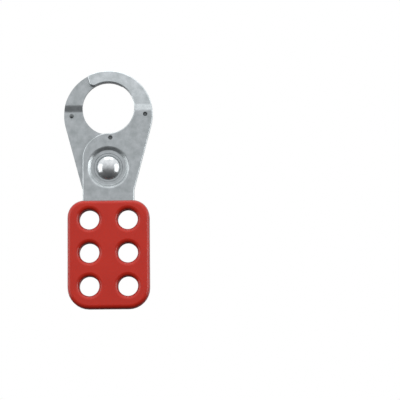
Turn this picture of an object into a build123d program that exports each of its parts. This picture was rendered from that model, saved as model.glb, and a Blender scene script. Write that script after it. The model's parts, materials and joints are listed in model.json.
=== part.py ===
"""Lockout hasp: two identical steel leaves, set back to back and turning on one rivet.

Millimetres. +Z runs up the hasp from the handle to the jaw, +X points right and +Y to the back.
The origin is the centre of the closed jaw, halfway between the two leaves. The front leaf is
modelled in full, and the back leaf is the same stamping turned half a turn about Z.
"""

import os
from math import acos, atan2, cos, degrees, hypot, radians, sin

from build123d import *

os.makedirs("parts", exist_ok=True)

# Sheet and vinyl
sheet = 2.3  # steel that the leaves are stamped from
coat = 1.1  # vinyl on every side of the handle's steel
leaf_gap = 0.1  # air between the two leaves where they lie face to face
edge_roll = 0.3  # rounding that the die leaves on the outer face's edges
bend_radius = 1.0  # inside of each bend of the joggle

# Rivet
shank_radius = 3.9
running_clearance = 0.05  # round the shank, and under the head
head_radius = 5.9
head_height = 3.2
head_rim = 0.5  # straight edge under the dome
tail_radius = 5.75
tail_height = 1.8
roll_round = 1.3  # outer rounding of the rolled tail
hollow_radius = 2.6
hollow_depth = 4.5
drill_point = 1.0  # cone at the bottom of the hollow
mouth_radius = 3.6
mouth_depth = 1.1
mouth_round = 0.6

# Dish pressed into each leaf round the rivet
seat_margin = 1.05  # coined seat, past the rivet's head
seat_depth = 0.25
floor_margin = 1.95  # floor of the dish, past the seat
dish_slope = 0.95  # run of the dish's side
dish_shift = 1.0  # the inner face turns this much further out than the outer face
neck_margin = 1.65  # flat left beside the dish on the neck

# Jaw ring, seen from the front
jaw_radius = 12.7
ring_side = 9.1  # width of the ring beside the jaw
ring_drop = 3.3  # the outer arc's centre is this far under the jaw's, so the ring thins upwards
tip_inner_angle = 41.0  # past the top, on the jaw's edge
tip_outer_angle = 28.0  # past the top, on the ring's outer edge
tip_corner = 1.8
joggle_rise = 3.7  # height of the band in which the arm steps over to the other leaf
joggle_start = 1.7  # the band begins this far under the jaw's centre
boss_height = 16.8  # rivet to the jaw's edge
flare_drop = 11.4  # the neck widens into the ring from this far under the rivet
flare_blend = 6.0

# Half-pierced buttons
button_radius = 1.0
button_gap = 0.1  # between the two stop buttons when the jaw is closed
stop_button_edge = 2.2  # stop button to the jaw's edge
stop_overlap = 0.4  # each stop button reaches this far past the middle
arm_button_edge = 3.7  # arm button to the ring's outer edge
arm_button_drop = 1.7  # arm button under the joggle
arm_button_height = 0.9

# Padlock holes and the handle round them, over the vinyl
hole_radius = 4.85
hole_pitch_x = 18.7
hole_pitch_z = 16.2
hole_rows = 3
hole_to_side = 10.55  # hole centre to the handle's edge
hole_to_top = 9.3
hole_to_foot = 11.0
handle_drop = 16.1  # rivet to the top of the vinyl
handle_top_corner = 8.3
handle_foot_corner = 10.3
vinyl_round = 1.2  # rounding of the vinyl's outer edges
rim_round = 0.6  # rounding at the mouth of each hole

# Levels, measured outward from the middle of the hasp
contact_level = leaf_gap / 2
inner_level = contact_level + coat
outer_level = inner_level + sheet
vinyl_level = outer_level + coat
floor_level = contact_level + sheet
seat_level = floor_level - seat_depth
reach = vinyl_level + 5  # past every face

# Radii of the dish, and the neck that holds it
seat_radius = head_radius + seat_margin
dish_floor_radius = seat_radius + floor_margin
dish_rim_radius = dish_floor_radius + dish_slope
dish_bearing_radius = dish_floor_radius + dish_shift
dish_root_radius = dish_rim_radius + dish_shift
neck_half = dish_root_radius + neck_margin

# Heights
pivot_z = -jaw_radius - boss_height
boss_z = -jaw_radius - neck_half  # the boss is a half round that touches the jaw's edge
flare_z = pivot_z - flare_drop
ring_outer_radius = jaw_radius + ring_side
ring_top = ring_outer_radius - ring_drop
ring_start = 90 + tip_outer_angle  # the ring's outer arc runs from the tip round to the flare
joggle_low = -joggle_start
joggle_high = joggle_low + joggle_rise
handle_width = hole_pitch_x + 2 * hole_to_side
hole_span_z = hole_pitch_z * (hole_rows - 1)
handle_top = pivot_z - handle_drop
hole_middle_z = handle_top - hole_to_top - hole_span_z / 2
handle_foot = handle_top - hole_to_top - hole_span_z - hole_to_foot
tang_top = handle_top - coat
tang_foot = handle_foot + coat
neck_foot = tang_top - handle_top_corner  # the neck runs down into the tang past its corners


def front(level, z):
    """A point of the front leaf's section: outward is towards -Y."""
    return (-level, z)


def handle_face(width, top, foot, top_corner, foot_corner):
    """Rectangle with its own radii at the top and at the foot, as a sketch on the front plane."""
    with BuildSketch(Plane.XZ) as face:
        with BuildLine():
            Polyline((-width / 2, foot), (width / 2, foot), (width / 2, top), (-width / 2, top), close=True)
        make_face()
        fillet(face.vertices().group_by(Axis.Y)[-1], top_corner)
        fillet(face.vertices().group_by(Axis.Y)[0], foot_corner)
    return face.sketch


def padlock_holes(radius):
    """The six holes as discs on the front plane."""
    with BuildSketch(Plane.XZ) as discs:
        with Locations((0, hole_middle_z)):
            with GridLocations(hole_pitch_x, hole_pitch_z, 2, hole_rows):
                Circle(radius)
    return discs.sketch


def pivot_profile(*points):
    """A turned profile about the rivet: each point is (level, radius), outward to the front."""
    with BuildSketch(Plane.YZ) as profile:
        with BuildLine():
            Polyline(*[front(level, pivot_z + radius) for level, radius in points], close=True)
        make_face()
    return profile.sketch


vinyl_face = handle_face(handle_width, handle_top, handle_foot, handle_top_corner, handle_foot_corner)
tang_face = handle_face(
    handle_width - 2 * coat, tang_top, tang_foot, handle_top_corner - coat, handle_foot_corner - coat
)
pivot_axis = Axis((0, 0, pivot_z), (0, 1, 0))

# The flare is the line from the neck that touches the ring's outer arc.
foot_x, foot_z = neck_half, flare_z + ring_drop
flare_angle = degrees(atan2(foot_z, foot_x) + acos(ring_outer_radius / hypot(foot_x, foot_z)))

# The dish is pressed in until it bears on the other leaf, and its floor is coined flat.
dish_bulge = pivot_profile(
    (inner_level, 0),
    (inner_level, dish_root_radius),
    (contact_level, dish_bearing_radius),
    (contact_level, 0),
)
dish_pocket = pivot_profile(
    (reach, 0),
    (reach, dish_rim_radius),
    (outer_level, dish_rim_radius),
    (floor_level, dish_floor_radius),
    (floor_level, seat_radius),
    (seat_level, seat_radius),
    (seat_level, 0),
)

# Each button stands on the inner face, and leaves a pit as deep in the outer face.
stop_button_height = inner_level + stop_overlap
buttons = [
    (button_radius + button_gap / 2, -jaw_radius - stop_button_edge, stop_button_height),
    (ring_outer_radius - arm_button_edge, joggle_low - arm_button_drop, arm_button_height),
]

# ---- Front leaf
with BuildPart() as front_jaw_plate:
    # The bent sheet from the side, as wide as the whole stamping.
    with BuildSketch(Plane.YZ):
        with BuildLine():
            FilletPolyline(
                front(inner_level, tang_foot),
                front(inner_level, joggle_low),
                front(contact_level, joggle_high),
                front(contact_level, ring_top),
                radius=[bend_radius, bend_radius + sheet],
            )
            offset(amount=sheet, side=Side.LEFT)
        make_face()
    extrude(amount=ring_outer_radius + handle_width, both=True)

    # The stamping's outline.
    with BuildSketch(Plane.XZ) as outline:
        with BuildLine():
            CenterArc((0, boss_z), neck_half, 180, -90)
            jaw = CenterArc((0, 0), jaw_radius, -90, 180 + tip_inner_angle)
            ring = CenterArc((0, -ring_drop), ring_outer_radius, ring_start, flare_angle - ring_start)
            Line(jaw @ 1, ring @ 0)
            Polyline(
                ring @ 1,
                (neck_half, flare_z),
                (neck_half, neck_foot),
                (-neck_half, neck_foot),
                (-neck_half, boss_z),
            )
        make_face()
        fillet(outline.vertices().sort_by_distance(jaw @ 1)[0], tip_corner)
        fillet(outline.vertices().sort_by_distance(ring @ 0)[0], tip_corner)
        fillet(outline.vertices().sort_by_distance((neck_half, flare_z))[0], flare_blend)
        add(tang_face)
    extrude(amount=reach, both=True, mode=Mode.INTERSECT)

    # The die rolls the edges of the outer face.
    rolled = [
        edge
        for wall in front_jaw_plate.faces().filter_by(lambda face: abs(face.normal_at().Y) < 0.01)
        for edge in wall.edges().sort_by(Axis.Y)[:1]
        if edge.center().Y < -(contact_level + sheet / 2)
    ]
    fillet(rolled, edge_roll)

    revolve(dish_bulge, axis=pivot_axis)
    revolve(dish_pocket, axis=pivot_axis, mode=Mode.SUBTRACT)
    with BuildSketch(Plane.XZ):
        with Locations((0, pivot_z)):
            Circle(shank_radius + running_clearance)
        add(padlock_holes(hole_radius + coat))
    extrude(amount=reach, both=True, mode=Mode.SUBTRACT)

    for x, z, height in buttons:
        with BuildSketch(Plane.XZ.offset(inner_level)):
            with Locations((x, z)):
                Circle(button_radius)
        extrude(amount=-height)
        with BuildSketch(Plane.XZ.offset(outer_level)):
            with Locations((x, z)):
                Circle(button_radius)
        extrude(amount=-height, mode=Mode.SUBTRACT)
front_jaw_plate.part.label = "front_jaw_plate"
export_step(front_jaw_plate.part, "parts/front_jaw_plate.step")

# ---- Front leaf's vinyl: a rounded block that fits the steel all over
with BuildPart() as front_handle_coating:
    with BuildSketch(Plane.XZ.offset(contact_level)):
        add(vinyl_face)
    extrude(amount=vinyl_level - contact_level)
    fillet(front_handle_coating.faces().filter_by(Axis.Y).edges(), vinyl_round)
    with BuildSketch(Plane.XZ):
        add(padlock_holes(hole_radius))
    extrude(amount=reach, mode=Mode.SUBTRACT)
    mouths = front_handle_coating.edges().filter_by(GeomType.CIRCLE)
    mouths = mouths.filter_by(lambda edge: abs(edge.radius - hole_radius) < 1e-6)
    fillet(mouths, rim_round)
    add(front_jaw_plate.part, mode=Mode.SUBTRACT)
front_handle_coating.part.label = "front_handle_coating"
export_step(front_handle_coating.part, "parts/front_handle_coating.step")

# ---- Back leaf: the same stamping and vinyl, turned half a turn
with BuildPart() as back_jaw_plate:
    add(front_jaw_plate.part.rotate(Axis.Z, 180))
back_jaw_plate.part.label = "back_jaw_plate"
export_step(back_jaw_plate.part, "parts/back_jaw_plate.step")

with BuildPart() as back_handle_coating:
    add(front_handle_coating.part.rotate(Axis.Z, 180))
back_handle_coating.part.label = "back_handle_coating"
export_step(back_handle_coating.part, "parts/back_handle_coating.step")

# ---- Semi-tubular rivet: domed head in front, rolled tail behind. Levels behind are negative.
head_seat = seat_level + running_clearance
dome_foot = head_seat + head_rim
head_top = head_seat + head_height
dome_rise = head_height - head_rim
dome_radius = (head_radius**2 + dome_rise**2) / (2 * dome_rise)
tail_seat = -seat_level
tail_end = tail_seat - tail_height
hollow_floor = tail_end + hollow_depth


def turned(level, radius):
    """A point of the rivet's profile."""
    return front(level, pivot_z + radius)


with BuildPart() as pivot_rivet:
    with BuildSketch(Plane.YZ) as rivet_profile:
        with BuildLine():
            Polyline(
                turned(head_seat, shank_radius),
                turned(head_seat, head_radius),
                turned(dome_foot, head_radius),
            )
            RadiusArc(turned(dome_foot, head_radius), turned(head_top, 0), -dome_radius)
            Polyline(
                turned(head_top, 0),
                turned(hollow_floor, 0),
                turned(hollow_floor - drill_point, hollow_radius),
                turned(tail_end + mouth_depth, hollow_radius),
                turned(tail_end, mouth_radius),
                turned(tail_end, tail_radius),
                turned(tail_seat, tail_radius),
                turned(tail_seat, shank_radius),
                turned(head_seat, shank_radius),
            )
        make_face()
        fillet(rivet_profile.vertices().sort_by_distance(turned(tail_end, tail_radius))[0], roll_round)
        fillet(rivet_profile.vertices().sort_by_distance(turned(tail_end, mouth_radius))[0], mouth_round)
    revolve(axis=pivot_axis)
pivot_rivet.part.label = "pivot_rivet"
export_step(pivot_rivet.part, "parts/pivot_rivet.step")
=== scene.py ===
# %% [markdown]
# # A lockout hasp in Blender
#
# A lockout hasp is two steel leaves on one rivet. Crossing the handles parts the jaw, and padlocks
# through the six holes keep it shut. The engineering model is loaded as a fixed frame, and each of
# its five pieces is modelled again here with the soft vinyl, rolled edges and plating that it lacks.

import json
from math import acos, asin, atan2, cos, degrees, hypot, pi, radians, sin, tan

import bpy
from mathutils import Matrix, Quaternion, Vector


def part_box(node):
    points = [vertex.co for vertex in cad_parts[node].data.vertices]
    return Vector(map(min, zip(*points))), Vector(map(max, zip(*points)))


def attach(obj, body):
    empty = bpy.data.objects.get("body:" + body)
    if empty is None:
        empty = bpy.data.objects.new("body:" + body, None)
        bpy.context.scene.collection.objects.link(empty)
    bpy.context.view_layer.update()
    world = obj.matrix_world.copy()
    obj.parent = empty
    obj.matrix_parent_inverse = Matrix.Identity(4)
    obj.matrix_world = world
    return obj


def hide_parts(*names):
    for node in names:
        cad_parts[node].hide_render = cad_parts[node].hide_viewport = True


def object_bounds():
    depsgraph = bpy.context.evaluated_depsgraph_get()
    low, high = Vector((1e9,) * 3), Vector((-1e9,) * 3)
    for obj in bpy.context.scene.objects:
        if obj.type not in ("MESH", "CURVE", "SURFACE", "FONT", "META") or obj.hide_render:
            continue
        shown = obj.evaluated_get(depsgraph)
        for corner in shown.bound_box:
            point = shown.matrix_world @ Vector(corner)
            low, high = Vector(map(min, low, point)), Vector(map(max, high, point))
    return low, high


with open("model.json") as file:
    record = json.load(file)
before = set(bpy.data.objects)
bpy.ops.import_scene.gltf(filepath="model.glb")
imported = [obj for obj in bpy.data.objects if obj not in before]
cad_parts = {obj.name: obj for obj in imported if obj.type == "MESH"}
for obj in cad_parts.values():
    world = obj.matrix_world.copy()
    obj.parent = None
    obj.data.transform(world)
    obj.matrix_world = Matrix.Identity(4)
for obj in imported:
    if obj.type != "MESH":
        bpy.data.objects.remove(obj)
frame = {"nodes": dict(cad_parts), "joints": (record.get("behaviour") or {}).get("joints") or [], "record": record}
cad_low, cad_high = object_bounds()
print("frame holds", sorted(frame["nodes"]))

# %% [markdown]
# ## Sizes
#
# Everything that the frame knows is read from it: the jaw and padlock holes from the mounts, the
# rivet's place from the joint, and the outer sizes from the boxes of the nodes. Only what a box
# can't tell, such as the thickness of the sheet, is given here. Blender works in metres.

# %% Read sizes from the frame
MM = 0.001
record = frame["record"]
mounts = {mount["name"]: mount for mount in record["mounts"]}
pivot = Vector(frame["joints"][0]["pos_m"])
jaw_radius = mounts["jaw"]["dims"]["r_mm"] * MM
hole_radius = mounts["padlock_corner_holes"]["dims"]["hole_r_mm"] * MM
hole_step_x = mounts["padlock_corner_holes"]["dims"]["spacing_x_mm"] * MM
hole_step_z = mounts["padlock_corner_holes"]["dims"]["spacing_y_mm"] * MM / 2
hole_middle = Vector(mounts["padlock_corner_holes"]["pos_m"])
hole_centres = [
    (x * hole_step_x / 2, hole_middle.z + row * hole_step_z) for row in (1, 0, -1) for x in (-1, 1)
]
vinyl_low, vinyl_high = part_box("front_handle_coating")
leaf_low, leaf_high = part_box("front_jaw_plate")
rivet_low, rivet_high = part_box("pivot_rivet")

sheet = 2.3 * MM
coat = 1.1 * MM
outer_y = leaf_low.y  # outer face of the front leaf; the front looks towards -Y
inner_y = outer_y + sheet
bearing_y = inner_y + coat  # the arm and the dish step in to here, against the back leaf
ring_radius = leaf_high.x
ring_drop = ring_radius - leaf_high.z
print("jaw", jaw_radius, "ring", ring_radius, "pivot", pivot)

# %% [markdown]
# ## Helpers for modelling by operator
#
# Operators act on whatever is selected, and loading the frame leaves its nodes selected, so each
# helper starts from a clean selection.

# %% Selection and edit mode
def only(piece):
    """Makes a piece the only one selected, and active."""
    bpy.ops.object.select_all(action="DESELECT")
    piece.select_set(True)
    bpy.context.view_layer.objects.active = piece


def edit(piece, mode="VERT"):
    """Opens a piece in edit mode with nothing selected."""
    only(piece)
    bpy.ops.object.mode_set(mode="EDIT")
    bpy.ops.mesh.select_mode(type=mode)
    bpy.ops.mesh.select_all(action="DESELECT")


def close_edit():
    bpy.ops.object.mode_set(mode="OBJECT")


def select_where(piece, kind, test):
    """Selects the faces, edges or vertices of a piece in edit mode that pass a test."""
    bpy.ops.object.mode_set(mode="OBJECT")
    for item in getattr(piece.data, kind):
        item.select = test(item)
    bpy.ops.object.mode_set(mode="EDIT")


print("the frame leaves", len(bpy.context.selected_objects), "objects selected")

# %% [markdown]
# A modifier is applied as soon as it is added, so that the next operator works on real geometry. Two
# are needed again and again: the boolean that cuts or joins, and the weighted normals that keep a
# flat face flat where it meets a rolled edge.

# %% Modifiers
CORNER_ANGLE = 35  # degrees: a sharper fold stays a crisp edge


def apply(piece, kind, **settings):
    """Adds one modifier with its settings, and applies it."""
    only(piece)
    modifier = piece.modifiers.new(kind.title(), kind)
    for key, value in settings.items():
        setattr(modifier, key, value)
    bpy.ops.object.modifier_apply(modifier=modifier.name)


def cut(piece, tool, operation="DIFFERENCE"):
    """Cuts a piece with a tool, or joins the tool to it, and throws the tool away."""
    apply(piece, "BOOLEAN", object=tool, operation=operation, solver="EXACT")
    bpy.data.objects.remove(tool)


def smooth(piece, angle=CORNER_ANGLE):
    """Smooth shading that keeps corners sharper than the angle, with flats kept flat."""
    only(piece)
    bpy.ops.object.shade_smooth_by_angle(angle=radians(angle))
    apply(piece, "WEIGHTED_NORMAL", keep_sharp=True, weight=80)


print("folds sharper than", CORNER_ANGLE, "degrees stay crisp")

# %% [markdown]
# ## Drawing an outline
#
# A stamping starts as a flat outline, which is a list of points in the front plane. Its round
# stretches are arcs, with points close enough together that no corner shows.

# %% Arcs
ARC_STEP = radians(2.5)


def arc(centre_x, centre_z, radius, start, end):
    """Points of an arc in the front plane, in degrees counter-clockwise from +X."""
    turn = radians(end - start)
    steps = max(2, round(abs(turn) / ARC_STEP))
    return [
        (
            centre_x + radius * cos(radians(start) + turn * i / steps),
            centre_z + radius * sin(radians(start) + turn * i / steps),
        )
        for i in range(steps + 1)
    ]


print("a full circle is drawn in", len(arc(0, 0, 1, 0, 360)) - 1, "steps")

# %% [markdown]
# The punch has no sharp corners, so each corner of the outline is replaced by a curve. It follows a
# formula, because bevelling the corners of one wide flat face can fail where the points stand close
# together.

# %% Rounded corners
CORNER_STEPS = 8


def walk(points, length):
    """The place and direction a given length along a line of points, and the points after it."""
    for i in range(len(points) - 1):
        step = (points[i + 1] - points[i]).length
        if length < step:
            along = (points[i + 1] - points[i]).normalized()
            return points[i] + along * length, along, points[i + 1 :]
        length -= step


def rounded(outline, corner, radius):
    """Rounds one corner of a closed outline with a curve that leaves both of its sides smoothly."""
    line = [Vector(point) for point in outline]
    first = min(range(len(line)), key=lambda i: (line[i] - Vector(corner)).length)
    line = line[first:] + line[: first + 1]
    turn = (line[1] - line[0]).angle(line[-1] - line[-2])
    out, out_way, rest = walk(line, radius * tan(turn / 2))
    back, back_way, rest = walk(rest[::-1], radius * tan(turn / 2))
    handle = 4 / 3 * tan(out_way.angle(-back_way) / 4) * radius
    ends = (back, back - back_way * handle, out - out_way * handle, out)
    curve = []
    for i in range(CORNER_STEPS + 1):
        t = i / CORNER_STEPS
        weights = ((1 - t) ** 3, 3 * t * (1 - t) ** 2, 3 * t * t * (1 - t), t**3)
        curve.append(sum((end * weight for end, weight in zip(ends, weights)), Vector((0, 0))))
    return rest[::-1] + curve


print("a rounded corner is drawn in", CORNER_STEPS, "steps")

# %% [markdown]
# ## Stamping, turning and turning over
#
# The outline is drawn like a pen line: one vertex is extruded from point to point. The loop is
# filled, and the face is extruded to the thickness of the sheet. The die rolls the edges of one
# face over and leaves those of the other almost sharp.

# %% Stamping
TOUCHING = 0.01 * MM  # closer than this, two points or two levels are the same


def stamp(name, points, y, thickness, front_roll, back_roll):
    """Draws a closed outline in the front plane, gives it thickness, and rolls its edges."""
    bpy.ops.object.select_all(action="DESELECT")
    bpy.ops.mesh.primitive_plane_add(size=MM)
    piece = bpy.context.object
    piece.name = name
    bpy.ops.object.mode_set(mode="EDIT")
    bpy.ops.mesh.select_mode(type="VERT")
    bpy.ops.mesh.select_all(action="SELECT")
    bpy.ops.mesh.merge(type="CENTER")
    pen = Vector((0, 0, 0))
    for i, (x, z) in enumerate(points):
        target = Vector((x, y, z))
        if i == 0:
            bpy.ops.transform.translate(value=target)
        else:
            bpy.ops.mesh.extrude_region_move(TRANSFORM_OT_translate={"value": target - pen})
        pen = target
    bpy.ops.mesh.select_all(action="SELECT")
    bpy.ops.mesh.remove_doubles(threshold=TOUCHING)
    bpy.ops.mesh.edge_face_add()
    bpy.ops.mesh.extrude_region_move(TRANSFORM_OT_translate={"value": (0, thickness, 0)})
    bpy.ops.mesh.select_all(action="SELECT")
    bpy.ops.mesh.normals_make_consistent(inside=False)
    for level, (width, segments) in ((y, front_roll), (y + thickness, back_roll)):
        bpy.ops.mesh.select_mode(type="FACE")
        select_where(piece, "polygons", lambda face: abs(face.center.y - level) < TOUCHING)
        bpy.ops.mesh.region_to_loop()
        bpy.ops.mesh.bevel(offset=width, segments=segments, affect="EDGES")
    close_edit()
    return piece


print("points within", round(TOUCHING / MM, 3), "mm of each other are merged")

# %% [markdown]
# Round pieces, and the tools that cut round holes, are turned ring by ring, as on a lathe. The back
# leaf is the front one turned over, so each finished front piece is copied and turned.

# %% Turning and turning over
RING_STEPS = 96


def turned(name, profile, x=pivot.x, z=pivot.z, segments=RING_STEPS):
    """A turned piece along Y: a truncated cone, whose far cap is extruded and scaled on from
    ring to ring. The profile is a list of (y, radius), each with a radius over 0."""
    (y0, r0), (y1, r1) = profile[:2]
    bpy.ops.object.select_all(action="DESELECT")
    bpy.ops.mesh.primitive_cone_add(vertices=segments, radius1=r0, radius2=r1, depth=abs(y1 - y0))
    piece = bpy.context.object
    piece.name = name
    towards = 1 if y1 > y0 else -1
    piece.rotation_euler = (-towards * pi / 2, 0, 0)
    piece.location = (x, (y0 + y1) / 2, z)
    bpy.ops.object.transform_apply(location=True, rotation=True, scale=True)
    edit(piece, "FACE")
    select_where(piece, "polygons", lambda face: face.normal.y * towards > 0.99)
    y, radius = y1, r1
    for next_y, next_radius in profile[2:]:
        bpy.ops.mesh.extrude_region_move(TRANSFORM_OT_translate={"value": (0, next_y - y, 0)})
        k = next_radius / radius
        bpy.ops.transform.resize(value=(k, 1, k), center_override=(x, next_y, z))
        y, radius = next_y, next_radius
    bpy.ops.mesh.select_all(action="SELECT")
    bpy.ops.mesh.normals_make_consistent(inside=False)
    close_edit()
    return piece


def turn_over(piece, name):
    """A copy with its own mesh, turned half a turn about Z, as the back leaf is."""
    only(piece)
    bpy.ops.object.duplicate()
    copy = bpy.context.object
    copy.name = name
    copy.rotation_euler = (0, 0, pi)
    bpy.ops.object.transform_apply(location=True, rotation=True, scale=True)
    return copy


print("a turned piece has", RING_STEPS, "steps round it, unless it says otherwise")

# %% [markdown]
# ## The steel leaf
#
# One leaf is handle tang, neck and half of the jaw ring in one piece. The boss beside the rivet
# is a half round as wide as the neck that just touches the jaw, and the neck's other side runs
# straight up to touch the ring. The tang is hidden in the vinyl.

# %% Draw the leaf's outline
neck_half = 12.5 * MM
boss_z = -jaw_radius - neck_half
flare_z = pivot.z - 11.4 * MM
tip_inner, tip_outer = 90 + 41, 90 + 28  # degrees from +X: the arm reaches past the top
tip_round, foot_round = 1.8 * MM, 1.2 * MM
handle_top_round, handle_foot_round = 8.3 * MM, 10.3 * MM
tang_slack = 0.2 * MM  # the tang's upper corners are this much tighter than the vinyl's
tang_half = vinyl_high.x - coat
tang_top, tang_foot = vinyl_high.z - coat, vinyl_low.z + coat

# The straight side touches the ring where a line from the neck's corner is tangent to it.
rise = flare_z + ring_drop
flare_angle = degrees(atan2(rise, neck_half) + acos(ring_radius / hypot(rise, neck_half)))
jaw_edge = arc(0, 0, jaw_radius, -90, tip_inner)
ring_edge = arc(0, -ring_drop, ring_radius, tip_outer, flare_angle)
leaf_outline = (
    arc(0, boss_z, neck_half, 180, 90)
    + jaw_edge[1:]
    + ring_edge
    + [
        (neck_half, flare_z),
        (neck_half, tang_top),
        (tang_half, tang_top),
        (tang_half, tang_foot),
        (-tang_half, tang_foot),
        (-tang_half, tang_top),
        (-neck_half, tang_top),
        (-neck_half, boss_z),
    ]
)
print("the straight side meets the ring at", round(flare_angle, 1), "degrees")

# %% [markdown]
# The corners are rounded one by one before the leaf is stamped. Those of the tang follow the
# vinyl's, less its thickness. The outer edges are rolled more than the inner ones, because the
# punch came from outside.

# %% Round its corners and stamp it
leaf_corners = [
    (*jaw_edge[-1], tip_round),
    (*ring_edge[0], tip_round),
    (neck_half, flare_z, foot_round),
    (tang_half, tang_top, handle_top_round - coat - tang_slack),
    (-tang_half, tang_top, handle_top_round - coat - tang_slack),
    (tang_half, tang_foot, handle_foot_round - coat),
    (-tang_half, tang_foot, handle_foot_round - coat),
]
for x, z, radius in leaf_corners:
    leaf_outline = rounded(leaf_outline, (x, z), radius)
edge_roll, back_roll = 0.6 * MM, 0.12 * MM
front_leaf = stamp("front_leaf_steel", leaf_outline, outer_y, sheet, (edge_roll, 5), (back_roll, 2))
print("leaf outline", len(leaf_outline), "points, stamping", len(front_leaf.data.vertices), "vertices")

# %% [markdown]
# The dish round the rivet is pressed in from outside: a shallow pan with a sloping side and a
# coined seat for the rivet's head. The same amount of metal stands out on the inside, where the
# two leaves bear on each other. Here the bulge is joined on inside, and then the pan is cut out of
# it with a turned tool whose rings give the slope its soft shoulders.

# %% Press the dish
dish_seat = 6.95 * MM
dish_depth, seat_depth = coat, 0.25 * MM
bulge = [(inner_y - 0.4 * MM, 11.26 * MM), (bearing_y, 9.9 * MM)]
cut(front_leaf, turned("bulge", bulge), "UNION")
pan_steps = (  # depth under the outer face and radius, in millimetres
    (-0.03, 10.7),
    (0.05, 10.3),
    (0.14, 9.95),
    (0.30, 9.65),
    (0.92, 8.85),
    (1.04, 8.65),
    (1.10, 8.4),
)
pan = [(outer_y - coat, pan_steps[0][1] * MM)]
pan += [(outer_y + deep * MM, radius * MM) for deep, radius in pan_steps]
pan += [
    (outer_y + dish_depth, dish_seat + 0.1 * MM),
    (outer_y + dish_depth + 0.1 * MM, dish_seat),
    (outer_y + dish_depth + seat_depth, dish_seat - 0.05 * MM),
]
cut(front_leaf, turned("pan", pan))
print("leaf with its dish", len(front_leaf.data.polygons), "faces")

# %% [markdown]
# The padlock holes in the steel are wider than those in the vinyl by its thickness, because the
# vinyl lines them. They and the rivet's hole are punched right through.

# %% Punch the holes
rivet_hole_radius = 3.95 * MM
through = (outer_y - coat, bearing_y + coat)
cut(front_leaf, turned("rivet_hole", [(y, rivet_hole_radius) for y in through]))
for x, z in hole_centres:
    cut(front_leaf, turned("hole", [(y, hole_radius + coat) for y in through], x, z, 64))
print("punched leaf", len(front_leaf.data.polygons), "faces")

# %% [markdown]
# A half-pierced button is pushed halfway out of the sheet, which leaves a pit outside and a button
# inside. The one beside the boss is tall enough to meet the other leaf's when the jaw is closed.

# %% Push out the buttons
button_radius = 1.0 * MM
buttons = [  # x, z and height
    (button_radius + 0.05 * MM, -jaw_radius - 2.2 * MM, leaf_high.y - inner_y),
    (ring_radius - 3.7 * MM, -3.4 * MM, 0.9 * MM),
]
for x, z, height in buttons:
    button = [
        (inner_y - 0.3 * MM, button_radius),
        (inner_y + height - 0.45 * MM, button_radius),
        (inner_y + height - 0.15 * MM, button_radius - 0.2 * MM),
        (inner_y + height, button_radius - 0.55 * MM),
    ]
    cut(front_leaf, turned("button", button, x, z, 32), "UNION")
    pit = [
        (outer_y - coat, button_radius + 0.12 * MM),
        (outer_y - 0.05 * MM, button_radius + 0.12 * MM),
        (outer_y + 0.2 * MM, button_radius - 0.05 * MM),
        (outer_y + 0.9 * MM, button_radius - 0.1 * MM),
    ]
    cut(front_leaf, turned("pit", pit, x, z, 32))
print("pressed leaf", len(front_leaf.data.polygons), "faces and", len(buttons), "buttons")

# %% [markdown]
# The arm is joggled: the leaf is sliced across the band, and each slice is moved towards the other
# leaf, round a bend, along a straight slope and round a second bend.

# %% Joggle the arm
joggle_low, joggle_high = -1.9 * MM, 2.1 * MM
BEND = 0.25  # the share of the band that each bend takes
SLICES = 16


def joggled(t):
    """How far across the band's step a height has come: a bend, a straight slope and a bend."""
    if t > 0.5:
        return 1 - joggled(1 - t)
    t = max(0, t)
    return (t * t / (2 * BEND) if t < BEND else t - BEND / 2) / (1 - BEND)


edit(front_leaf)
for i in range(SLICES + 1):
    bpy.ops.mesh.select_all(action="SELECT")
    height = joggle_low + (joggle_high - joggle_low) * i / SLICES
    bpy.ops.mesh.bisect(plane_co=(0, 0, height), plane_no=(0, 0, 1))
close_edit()
for vertex in front_leaf.data.vertices:
    vertex.co.y += coat * joggled((vertex.co.z - joggle_low) / (joggle_high - joggle_low))
smooth(front_leaf)
back_leaf = turn_over(front_leaf, "back_leaf_steel")
print("finished leaf", len(front_leaf.data.polygons), "faces")

# %% [markdown]
# ## The vinyl handle
#
# The handle is dipped, so its vinyl flows over the steel: edges and hole mouths are round, and no
# corner is left. The holes are cut with a tool flared like a trumpet at both ends, so their mouths
# are round too.

# %% The mouth of a hole
mouth_wide, mouth_deep = 2.3 * MM, 1.7 * MM


def roll_over(y, towards):
    """The profile of a hole's mouth: a quarter of an ellipse from the surface into the hole. It starts
    a little outside the surface, because a cut fails where a ring lies in the surface itself."""
    start = y - towards * 0.03 * MM
    turns = [radians(a) for a in range(0, 91, 9)]
    return [
        (start + towards * mouth_deep * (1 - cos(a)), hole_radius + mouth_wide * (1 - sin(a)))
        for a in turns
    ]


print("the mouth of a hole has", len(roll_over(vinyl_low.y, 1)), "rings")

# %% [markdown]
# The handle itself starts as an outline drawn and rounded like the leaf's, with a wider roll.

# %% Shape the handle
vinyl_roll = 2.0 * MM
vinyl_half = vinyl_high.x
vinyl_outline = [
    (vinyl_half, vinyl_high.z),
    (vinyl_half, vinyl_low.z),
    (-vinyl_half, vinyl_low.z),
    (-vinyl_half, vinyl_high.z),
]
vinyl_corners = [(x * vinyl_half, vinyl_high.z, handle_top_round) for x in (1, -1)]
vinyl_corners += [(x * vinyl_half, vinyl_low.z, handle_foot_round) for x in (1, -1)]
for x, z, radius in vinyl_corners:
    vinyl_outline = rounded(vinyl_outline, (x, z), radius)
thickness = vinyl_high.y - vinyl_low.y
front_vinyl = stamp(
    "front_handle_vinyl", vinyl_outline, vinyl_low.y, thickness, (vinyl_roll, 10), (vinyl_roll, 10)
)
mouth = [(vinyl_low.y - coat, hole_radius + mouth_wide)]
mouth += roll_over(vinyl_low.y, 1)
mouth += roll_over(vinyl_high.y, -1)[::-1]
mouth += [(vinyl_high.y + coat, hole_radius + mouth_wide)]
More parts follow.
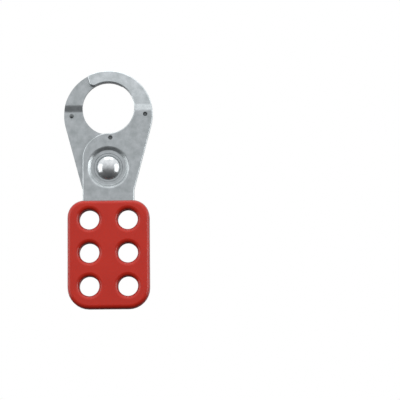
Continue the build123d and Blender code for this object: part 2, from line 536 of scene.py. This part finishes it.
for x, z in hole_centres:
    cut(front_vinyl, turned("hole", mouth, x, z, 96))
print("solid handle", len(front_vinyl.data.polygons), "faces")

# %% [markdown]
# The steel is inside the vinyl, so the solid handle is cut hollow with a copy of the leaf. What is
# left is the skin that the dip leaves, which also lines the padlock holes.

# %% Hollow it round the steel
only(front_leaf)
bpy.ops.object.duplicate()
cut(front_vinyl, bpy.context.object)
smooth(front_vinyl, 50)
back_vinyl = turn_over(front_vinyl, "back_handle_vinyl")
print("vinyl skin", len(front_vinyl.data.polygons), "faces")

# %% [markdown]
# ## The rivet
#
# A semi-tubular rivet has a domed head, and a hollow tail that the setting tool rolls outward.
# It is turned from ring to ring, from the top of the dome to the bottom of the hollow. The dome is
# part of a sphere, which its radius and its rise settle.

# %% The dome of the rivet
head_radius, tail_radius = rivet_high.x, 5.75 * MM
shank_radius = 3.9 * MM
running_clearance = 0.05 * MM  # under the head, so that the leaves turn
head_rim = 0.5 * MM  # straight edge under the dome
head_seat = outer_y + dish_depth + seat_depth - running_clearance
tail_seat = -(outer_y + dish_depth + seat_depth)
rim_y = head_seat - head_rim
dome_rise = rim_y - rivet_low.y
dome_radius = (head_radius**2 + dome_rise**2) / (2 * dome_rise)
DOME_RINGS = 24
dome_turns = [asin(head_radius / dome_radius) * i / DOME_RINGS for i in range(1, DOME_RINGS + 1)]
dome = [(rivet_low.y + dome_radius * (1 - cos(a)), dome_radius * sin(a)) for a in dome_turns]
print("dome rises", round(dome_rise / MM, 2), "mm")

# %% [markdown]
# The shank is hidden in the two leaves. Outside them the setting tool has rolled the tail into a
# soft ring, and its mouth runs down into the hollow, which ends in the point of the drill.

# %% The rest of the rivet
flange = [
    (rim_y + 0.35 * MM, head_radius),
    (head_seat, head_radius - 0.15 * MM),
    (head_seat, shank_radius),
]
shank_end = [
    (tail_seat, shank_radius),
    (tail_seat, tail_radius - 0.4 * MM),
    (tail_seat + 0.2 * MM, tail_radius - 0.1 * MM),
]
roll_round = 1.3 * MM
roll_turns = [radians(a) for a in range(0, 91, 10)]
roll = [
    (rivet_high.y - roll_round * (1 - sin(a)), tail_radius - roll_round * (1 - cos(a)))
    for a in roll_turns
]
hollow_steps = (  # depth under the tail's top and radius, in millimetres: mouth, wall and point
    (0, 4.1),
    (0.1, 3.7),
    (0.5, 3.1),
    (1.2, 2.7),
    (1.6, 2.6),
    (3.5, 2.6),
    (4.4, 0.6),
    (4.5, 0.2),
)
hollow = [(rivet_high.y - deep * MM, radius * MM) for deep, radius in hollow_steps]
rivet_profile = dome + flange + shank_end + roll + hollow
rivet = turned("rivet", rivet_profile, segments=128)
smooth(rivet, 50)
print("rivet", len(rivet.data.polygons), "faces")

# %% [markdown]
# ## Materials
#
# Colours are sRGB hex, turned to linear by one function. Pattern sizes are real millimetres.

# %% Colour and node helpers
def linear(hex_colour):
    """An sRGB hex colour as the linear RGBA that shaders take."""
    channels = [int(hex_colour[i : i + 2], 16) / 255 for i in (1, 3, 5)]
    return [c / 12.92 if c <= 0.04045 else ((c + 0.055) / 1.055) ** 2.4 for c in channels] + [1.0]


def add_node(tree, kind, settings=(), **inputs):
    """Adds a node, sets its properties and its inputs; an input given as a socket is linked."""
    node = tree.nodes.new(kind)
    for key, value in dict(settings).items():
        setattr(node, key, value)
    for key, value in inputs.items():
        socket = node.inputs[key.replace("_", " ")]
        if isinstance(value, bpy.types.NodeSocket):
            tree.links.new(value, socket)
        else:
            socket.default_value = value
    return node


def per_mm(size_mm):
    """The noise scale whose features are this many millimetres apart, on Object coordinates."""
    return 1 / (size_mm * MM)


def new_material(name):
    """An empty material with a Principled shader, and its Object coordinates."""
    material = bpy.data.materials.new(name)
    material.use_nodes = True
    tree = material.node_tree
    shader = tree.nodes["Principled BSDF"]
    coordinates = add_node(tree, "ShaderNodeTexCoord").outputs["Object"]
    return material, tree, shader, coordinates


print("the grey #808080 is", round(linear("#808080")[0], 3), "in linear light")

# %% [markdown]
# Two things are shared by the steel and the vinyl: a colour that drifts between two tones, and a
# shade that depends on which way the surface itself faces, so that walls and rims can be darker.

# %% Tone and shade
WALL = (0.15, 0.6)  # how squarely a surface faces front or back: all wall below, no wall above


def tinted(tree, amount, dark, light):
    """A colour between two hex colours. A colour mix takes its amount at 0, and A and B at 6 and 7."""
    tint = add_node(tree, "ShaderNodeMix", {"data_type": "RGBA"})
    tree.links.new(amount, tint.inputs[0])
    tint.inputs[6].default_value = linear(dark)
    tint.inputs[7].default_value = linear(light)
    return tint.outputs[2]


def side_on(tree, low, high):
    """0 where the surface faces sideways, as a sheared wall does, and 1 where it faces front or back."""
    facing = add_node(tree, "ShaderNodeNewGeometry").outputs["Normal"]
    facing = add_node(tree, "ShaderNodeSeparateXYZ", Vector=facing).outputs
    flatness = add_node(tree, "ShaderNodeMath", {"operation": "ABSOLUTE"})
    tree.links.new(facing["Y"], flatness.inputs[0])
    return add_node(tree, "ShaderNodeMapRange", Value=flatness.outputs[0], From_Min=low, From_Max=high)


def shaded(tree, colour, amount, least):
    """A colour times a shade, which is the least where the amount is 0, and 1 where it is 1."""
    shade = add_node(tree, "ShaderNodeMapRange", Value=amount.outputs["Result"], To_Min=least, To_Max=1.0)
    darker = add_node(tree, "ShaderNodeVectorMath", {"operation": "SCALE"}, Scale=shade.outputs["Result"])
    tree.links.new(colour, darker.inputs[0])
    return darker.outputs["Vector"]


wall_lean, face_lean = (round(degrees(asin(level))) for level in WALL)
print("a wall leans up to", wall_lean, "degrees, and a face at least", face_lean)

# %% [markdown]
# The outer face of each leaf's arm, above the joggle, is made a little lighter than the rest. The
# place on the leaf says where that is, so it stays there when the leaf turns.

# %% Lighter arm
ARM_GAIN = 1.34
lighten_low, lighten_high = 0.5 * MM, 2.5 * MM  # it fades in between these heights


def arm_lightening(tree, coordinates, colour):
    """Lightens the outer face of the arm above the joggle."""
    place = add_node(tree, "ShaderNodeSeparateXYZ", Vector=coordinates).outputs
    outward = add_node(tree, "ShaderNodeMath", {"operation": "ABSOLUTE"})
    tree.links.new(place["Y"], outward.inputs[0])
    outer = add_node(
        tree, "ShaderNodeMapRange", Value=outward.outputs[0], From_Min=1.5 * MM, From_Max=2.2 * MM
    )
    above = add_node(
        tree, "ShaderNodeMapRange", Value=place["Z"], From_Min=lighten_low, From_Max=lighten_high
    )
    both = add_node(tree, "ShaderNodeMath", {"operation": "MULTIPLY"})
    tree.links.new(outer.outputs["Result"], both.inputs[0])
    tree.links.new(above.outputs["Result"], both.inputs[1])
    gain = add_node(tree, "ShaderNodeMapRange", Value=both.outputs[0], To_Min=1.0, To_Max=ARM_GAIN)
    lighter = add_node(tree, "ShaderNodeVectorMath", {"operation": "SCALE"}, Scale=gain.outputs["Result"])
    tree.links.new(colour, lighter.inputs[0])
    return lighter.outputs["Vector"]


print("above", round(lighten_high / MM, 1), "mm the arm is", ARM_GAIN, "times as light")

# %% [markdown]
# Zinc-plated sheet steel: rolled flat, so its grain runs up the leaf, and plated in a barrel, which
# leaves a soft cloudy grey. The grain varies the roughness and the relief, and the clouds vary the
# colour. Faces turned sideways, the sheared walls and the sides of the rolled edges, are painted
# darker: painted shade that keeps the outline dark, over the duller steel that the punch tore.

# %% Plated steel
GRAIN_MM = 0.3  # finer on the real sheet, and drawn this coarse so that it shows
NOISE_SPREAD = {"From_Min": 0.3, "From_Max": 0.7}  # where nearly all of a noise's values lie


def plated_steel(name, dark, light, rough, cloud_mm, grain_stretch, bump, wall=1.0):
    """Plated steel. Rough is its least and greatest roughness, and wall the painted shade on its sides."""
    material, tree, shader, coordinates = new_material(name)
    clouds = add_node(
        tree, "ShaderNodeTexNoise", Vector=coordinates, Scale=per_mm(cloud_mm), Detail=4, Roughness=0.6
    )
    soft = add_node(tree, "ShaderNodeMapRange", Value=clouds.outputs["Fac"], **NOISE_SPREAD)
    colour = arm_lightening(tree, coordinates, tinted(tree, soft.outputs["Result"], dark, light))
    # Painted shade: the colour is darkened where the surface faces sideways.
    tree.links.new(shaded(tree, colour, side_on(tree, *WALL), wall), shader.inputs["Base Color"])
    stretched = add_node(tree, "ShaderNodeMapping", Vector=coordinates, Scale=grain_stretch).outputs
    grain = add_node(
        tree, "ShaderNodeTexNoise", Vector=stretched["Vector"], Scale=per_mm(GRAIN_MM), Detail=5
    )
    roughness = add_node(
        tree,
        "ShaderNodeMapRange",
        Value=grain.outputs["Fac"],
        **NOISE_SPREAD,
        To_Min=rough[0],
        To_Max=rough[1],
    )
    tree.links.new(roughness.outputs["Result"], shader.inputs["Roughness"])
    relief = add_node(tree, "ShaderNodeBump", Height=grain.outputs["Fac"], Strength=bump, Distance=0.02 * MM)
    tree.links.new(relief.outputs["Normal"], shader.inputs["Normal"])
    shader.inputs["Metallic"].default_value = 1.0
    return material


print("grain is drawn", GRAIN_MM, "mm wide")

# %% [markdown]
# Two finishes come from it: the sheet of the leaves, and the rivet, which was formed smooth in a die
# and is plated brighter.

# %% Sheet and rivet
# The sheet's sideways faces keep 0.66 of their colour as painted shade; the rivet's keep all of it.
zinc_sheet = plated_steel(
    "zinc_plated_sheet", "#9AA0A1", "#B3B8BA", (0.30, 0.42), 3.5, (1, 1, 0.12), 0.35, wall=0.66
)
rivet_steel = plated_steel(
    "bright_plated_rivet", "#AEB2B3", "#C6C9CA", (0.14, 0.22), 2.0, (1, 1, 1), 0.1
)
print("steel finishes", zinc_sheet.name, "and", rivet_steel.name)

# %% [markdown]
# Where the punch pushed a button out of the sheet, it sheared the steel and left a pit. The faces in
# the pit are given a much darker steel, which is painted shade, so the marks look like dark dots.

# %% Painted shade in the pits
pit_shade_steel = plated_steel(
    "sheared_punch_mark", "#5E6263", "#767A7B", (0.45, 0.6), 0.8, (1, 1, 1), 0.6
)
for leaf, side in ((front_leaf, 1), (back_leaf, -1)):
    leaf.data.materials.append(zinc_sheet)
    leaf.data.materials.append(pit_shade_steel)
    marked = 0
    # Faces inside a pit take the darker steel: painted shade.
    for face in leaf.data.polygons:
        under_surface = face.center.y * side > outer_y + 0.1 * MM
        for x, z, height in buttons:
            off_axis = hypot(face.center.x * side - x, face.center.z - z)
            if off_axis < button_radius and under_surface:
                face.material_index = 1
                marked += 1
    print("punch marks on", leaf.name, marked, "faces")

# %% [markdown]
# Dipped vinyl (plastisol): deep red all through, with a soft gloss and a very slight orange peel
# where it gelled on the hot steel. The red is painted darker on the rims and in the holes, where the
# surface turns sideways: painted shade. Shackles have rubbed the walls of the holes, so they are duller.

# %% Vinyl
def dipped_vinyl():
    material, tree, shader, coordinates = new_material("dipped_red_vinyl")
    flow = add_node(tree, "ShaderNodeTexNoise", Vector=coordinates, Scale=per_mm(9), Detail=2)
    red = tinted(tree, flow.outputs["Fac"], "#A81B0A", "#B8230C")
    # Painted shade: the red falls to 0.38 of itself where the surface turns sideways, on rims and in holes.
    tree.links.new(shaded(tree, red, side_on(tree, 0.2, 0.97), 0.38), shader.inputs["Base Color"])
    worn = side_on(tree, *WALL)
    worn.inputs["To Min"].default_value = 0.55
    worn.inputs["To Max"].default_value = 0.24
    tree.links.new(worn.outputs["Result"], shader.inputs["Roughness"])
    peel = add_node(
        tree, "ShaderNodeTexNoise", Vector=coordinates, Scale=per_mm(1.4), Detail=2, Roughness=0.4
    )
    relief = add_node(tree, "ShaderNodeBump", Height=peel.outputs["Fac"], Strength=0.25, Distance=0.05 * MM)
    tree.links.new(relief.outputs["Normal"], shader.inputs["Normal"])
    shader.inputs["Specular IOR Level"].default_value = 0.35
    shader.inputs["IOR"].default_value = 1.5
    return material


vinyl = dipped_vinyl()
print("vinyl finish", vinyl.name)

# %% [markdown]
# ## Joining the frame
#
# Each piece rides on the body that its CAD node moves with, and takes that node's place.

# %% Give each piece its material, its body and the node that it stands for
for piece, node, body, slot, material in (
    (front_leaf, "front_jaw_plate", "front_leaf", "leaf_steel", zinc_sheet),
    (back_leaf, "back_jaw_plate", "back_leaf", "leaf_steel", zinc_sheet),
    (front_vinyl, "front_handle_coating", "front_leaf", "handle_vinyl", vinyl),
    (back_vinyl, "back_handle_coating", "back_leaf", "handle_vinyl", vinyl),
    (rivet, "pivot_rivet", "back_leaf", "rivet_steel", rivet_steel),
):
    if not piece.data.materials:
        piece.data.materials.append(material)
    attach(piece, body)
    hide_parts(node)
    print(piece.name, "rides on", body, "and stands for", node)

# %% [markdown]
# ## Stage, light and camera
#
# A wide pale floor a little below the object gives the same ground from every side.

# %% Stage
bpy.ops.object.select_all(action="DESELECT")
floor_z = cad_low.z - 0.085
bpy.ops.mesh.primitive_circle_add(vertices=128, radius=8, fill_type="NGON", location=(0, 0, floor_z))
floor = bpy.context.object
floor.name = "floor"
paper = bpy.data.materials.new("pale_paper")
paper.use_nodes = True
paper.node_tree.nodes["Principled BSDF"].inputs["Base Color"].default_value = linear("#F4F4F2")
paper.node_tree.nodes["Principled BSDF"].inputs["Roughness"].default_value = 0.9
floor.data.materials.append(paper)
floor.visible_glossy = False
floor.visible_diffuse = False
print("floor at", round(floor_z / MM, 1), "mm")

# %% [markdown]
# Metal shows what stands round it. Here that is a studio which is dark below and bright above. The
# camera itself sees plain white behind the object. The floor takes light and shadow, but isn't
# mirrored in the steel, so that the undersides stay dark.

# %% Studio surroundings
world = bpy.data.worlds.new("studio")
bpy.context.scene.world = world
world.use_nodes = True
sky = world.node_tree
way = add_node(sky, "ShaderNodeTexCoord").outputs["Generated"]
way = add_node(sky, "ShaderNodeSeparateXYZ", Vector=way).outputs
lift = add_node(sky, "ShaderNodeMapRange", Value=way["Z"], From_Min=-1.0, From_Max=1.0)
ramp = add_node(sky, "ShaderNodeValToRGB", Fac=lift.outputs["Result"])
ramp.color_ramp.elements[0].color = (0.06, 0.06, 0.062, 1)
ramp.color_ramp.elements[1].color = (1.0, 1.0, 1.0, 1)
for place, level in ((0.36, 0.21), (0.47, 0.42), (0.56, 0.62), (0.70, 0.78), (0.82, 0.95)):
    ramp.color_ramp.elements.new(place).color = (level, level, level * 1.02, 1)
white = add_node(sky, "ShaderNodeBackground", Color=linear("#FFFFFF"), Strength=1.0)
studio = add_node(sky, "ShaderNodeBackground", Color=ramp.outputs["Color"], Strength=1.55)
seen = add_node(sky, "ShaderNodeMixShader", Fac=add_node(sky, "ShaderNodeLightPath").outputs["Is Camera Ray"])
sky.links.new(studio.outputs["Background"], seen.inputs[1])
sky.links.new(white.outputs["Background"], seen.inputs[2])
sky.links.new(seen.outputs["Shader"], sky.nodes["World Output"].inputs["Surface"])
print("studio with", len(ramp.color_ramp.elements), "levels of brightness")

# %% [markdown]
# Each face has a tall soft box to its left and one to its right, which whiten both sides of the
# rivet's dome. A small bright one beside them draws the thin highlights in the mouths of the holes.
# One large box hangs overhead.

# %% Soft boxes
def softbox(name, place, target, width, height, power):
    """A rectangular area light that looks at a point."""
    light = bpy.data.lights.new(name, "AREA")
    light.shape = "RECTANGLE"
    light.size, light.size_y, light.energy = width, height, power
    holder = bpy.data.objects.new(name, light)
    holder.location = place
    holder.rotation_euler = (Vector(target) - Vector(place)).to_track_quat("-Z", "Y").to_euler()
    holder.visible_camera = False
    bpy.context.collection.objects.link(holder)
    return holder


middle = (cad_low + cad_high) / 2
for side, across in (("front", -1), ("back", 1)):
    softbox(f"{side}_left_softbox", (-0.80, 0.42 * across, 0.0), middle, 0.50, 0.8, 2.3)
    softbox(f"{side}_right_softbox", (0.80, 0.42 * across, 0.0), middle, 0.50, 0.8, 2.3)
    softbox(f"{side}_spot_softbox", (-0.75 * across, 0.485 * across, -0.125), middle, 0.16, 0.36, 0.6)
softbox("top_softbox", (0, 0, 0.9), middle, 0.8, 0.8, 3.4)

# %% [markdown]
# The camera stands far off with a long lens, a little below the object, and looks slightly up. The
# object is left of the middle, so the left and upper walls of its holes show.

# %% Camera
PICTURE_MM = 194.75  # the width of the view at the object
distance, elevation = 0.9, radians(-7)
target = Vector((44.46 * MM, 0, -45.58 * MM))
roll = radians(-0.54)
camera_data = bpy.data.cameras.new("camera")
camera = bpy.data.objects.new("camera", camera_data)
bpy.context.collection.objects.link(camera)
camera.location = target + distance * Vector((0, -cos(elevation), sin(elevation)))
aim = (target - camera.location).to_track_quat("-Z", "Y")
camera.rotation_euler = (aim @ Quaternion((0, 0, 1), roll)).to_euler()
camera_data.sensor_width = 36
camera_data.lens = 36 * distance / (PICTURE_MM * MM)
camera_data.clip_start = 0.01
bpy.context.scene.camera = camera
bpy.context.scene.view_settings.view_transform = "Standard"
print("camera lens", round(camera_data.lens, 1), "mm")
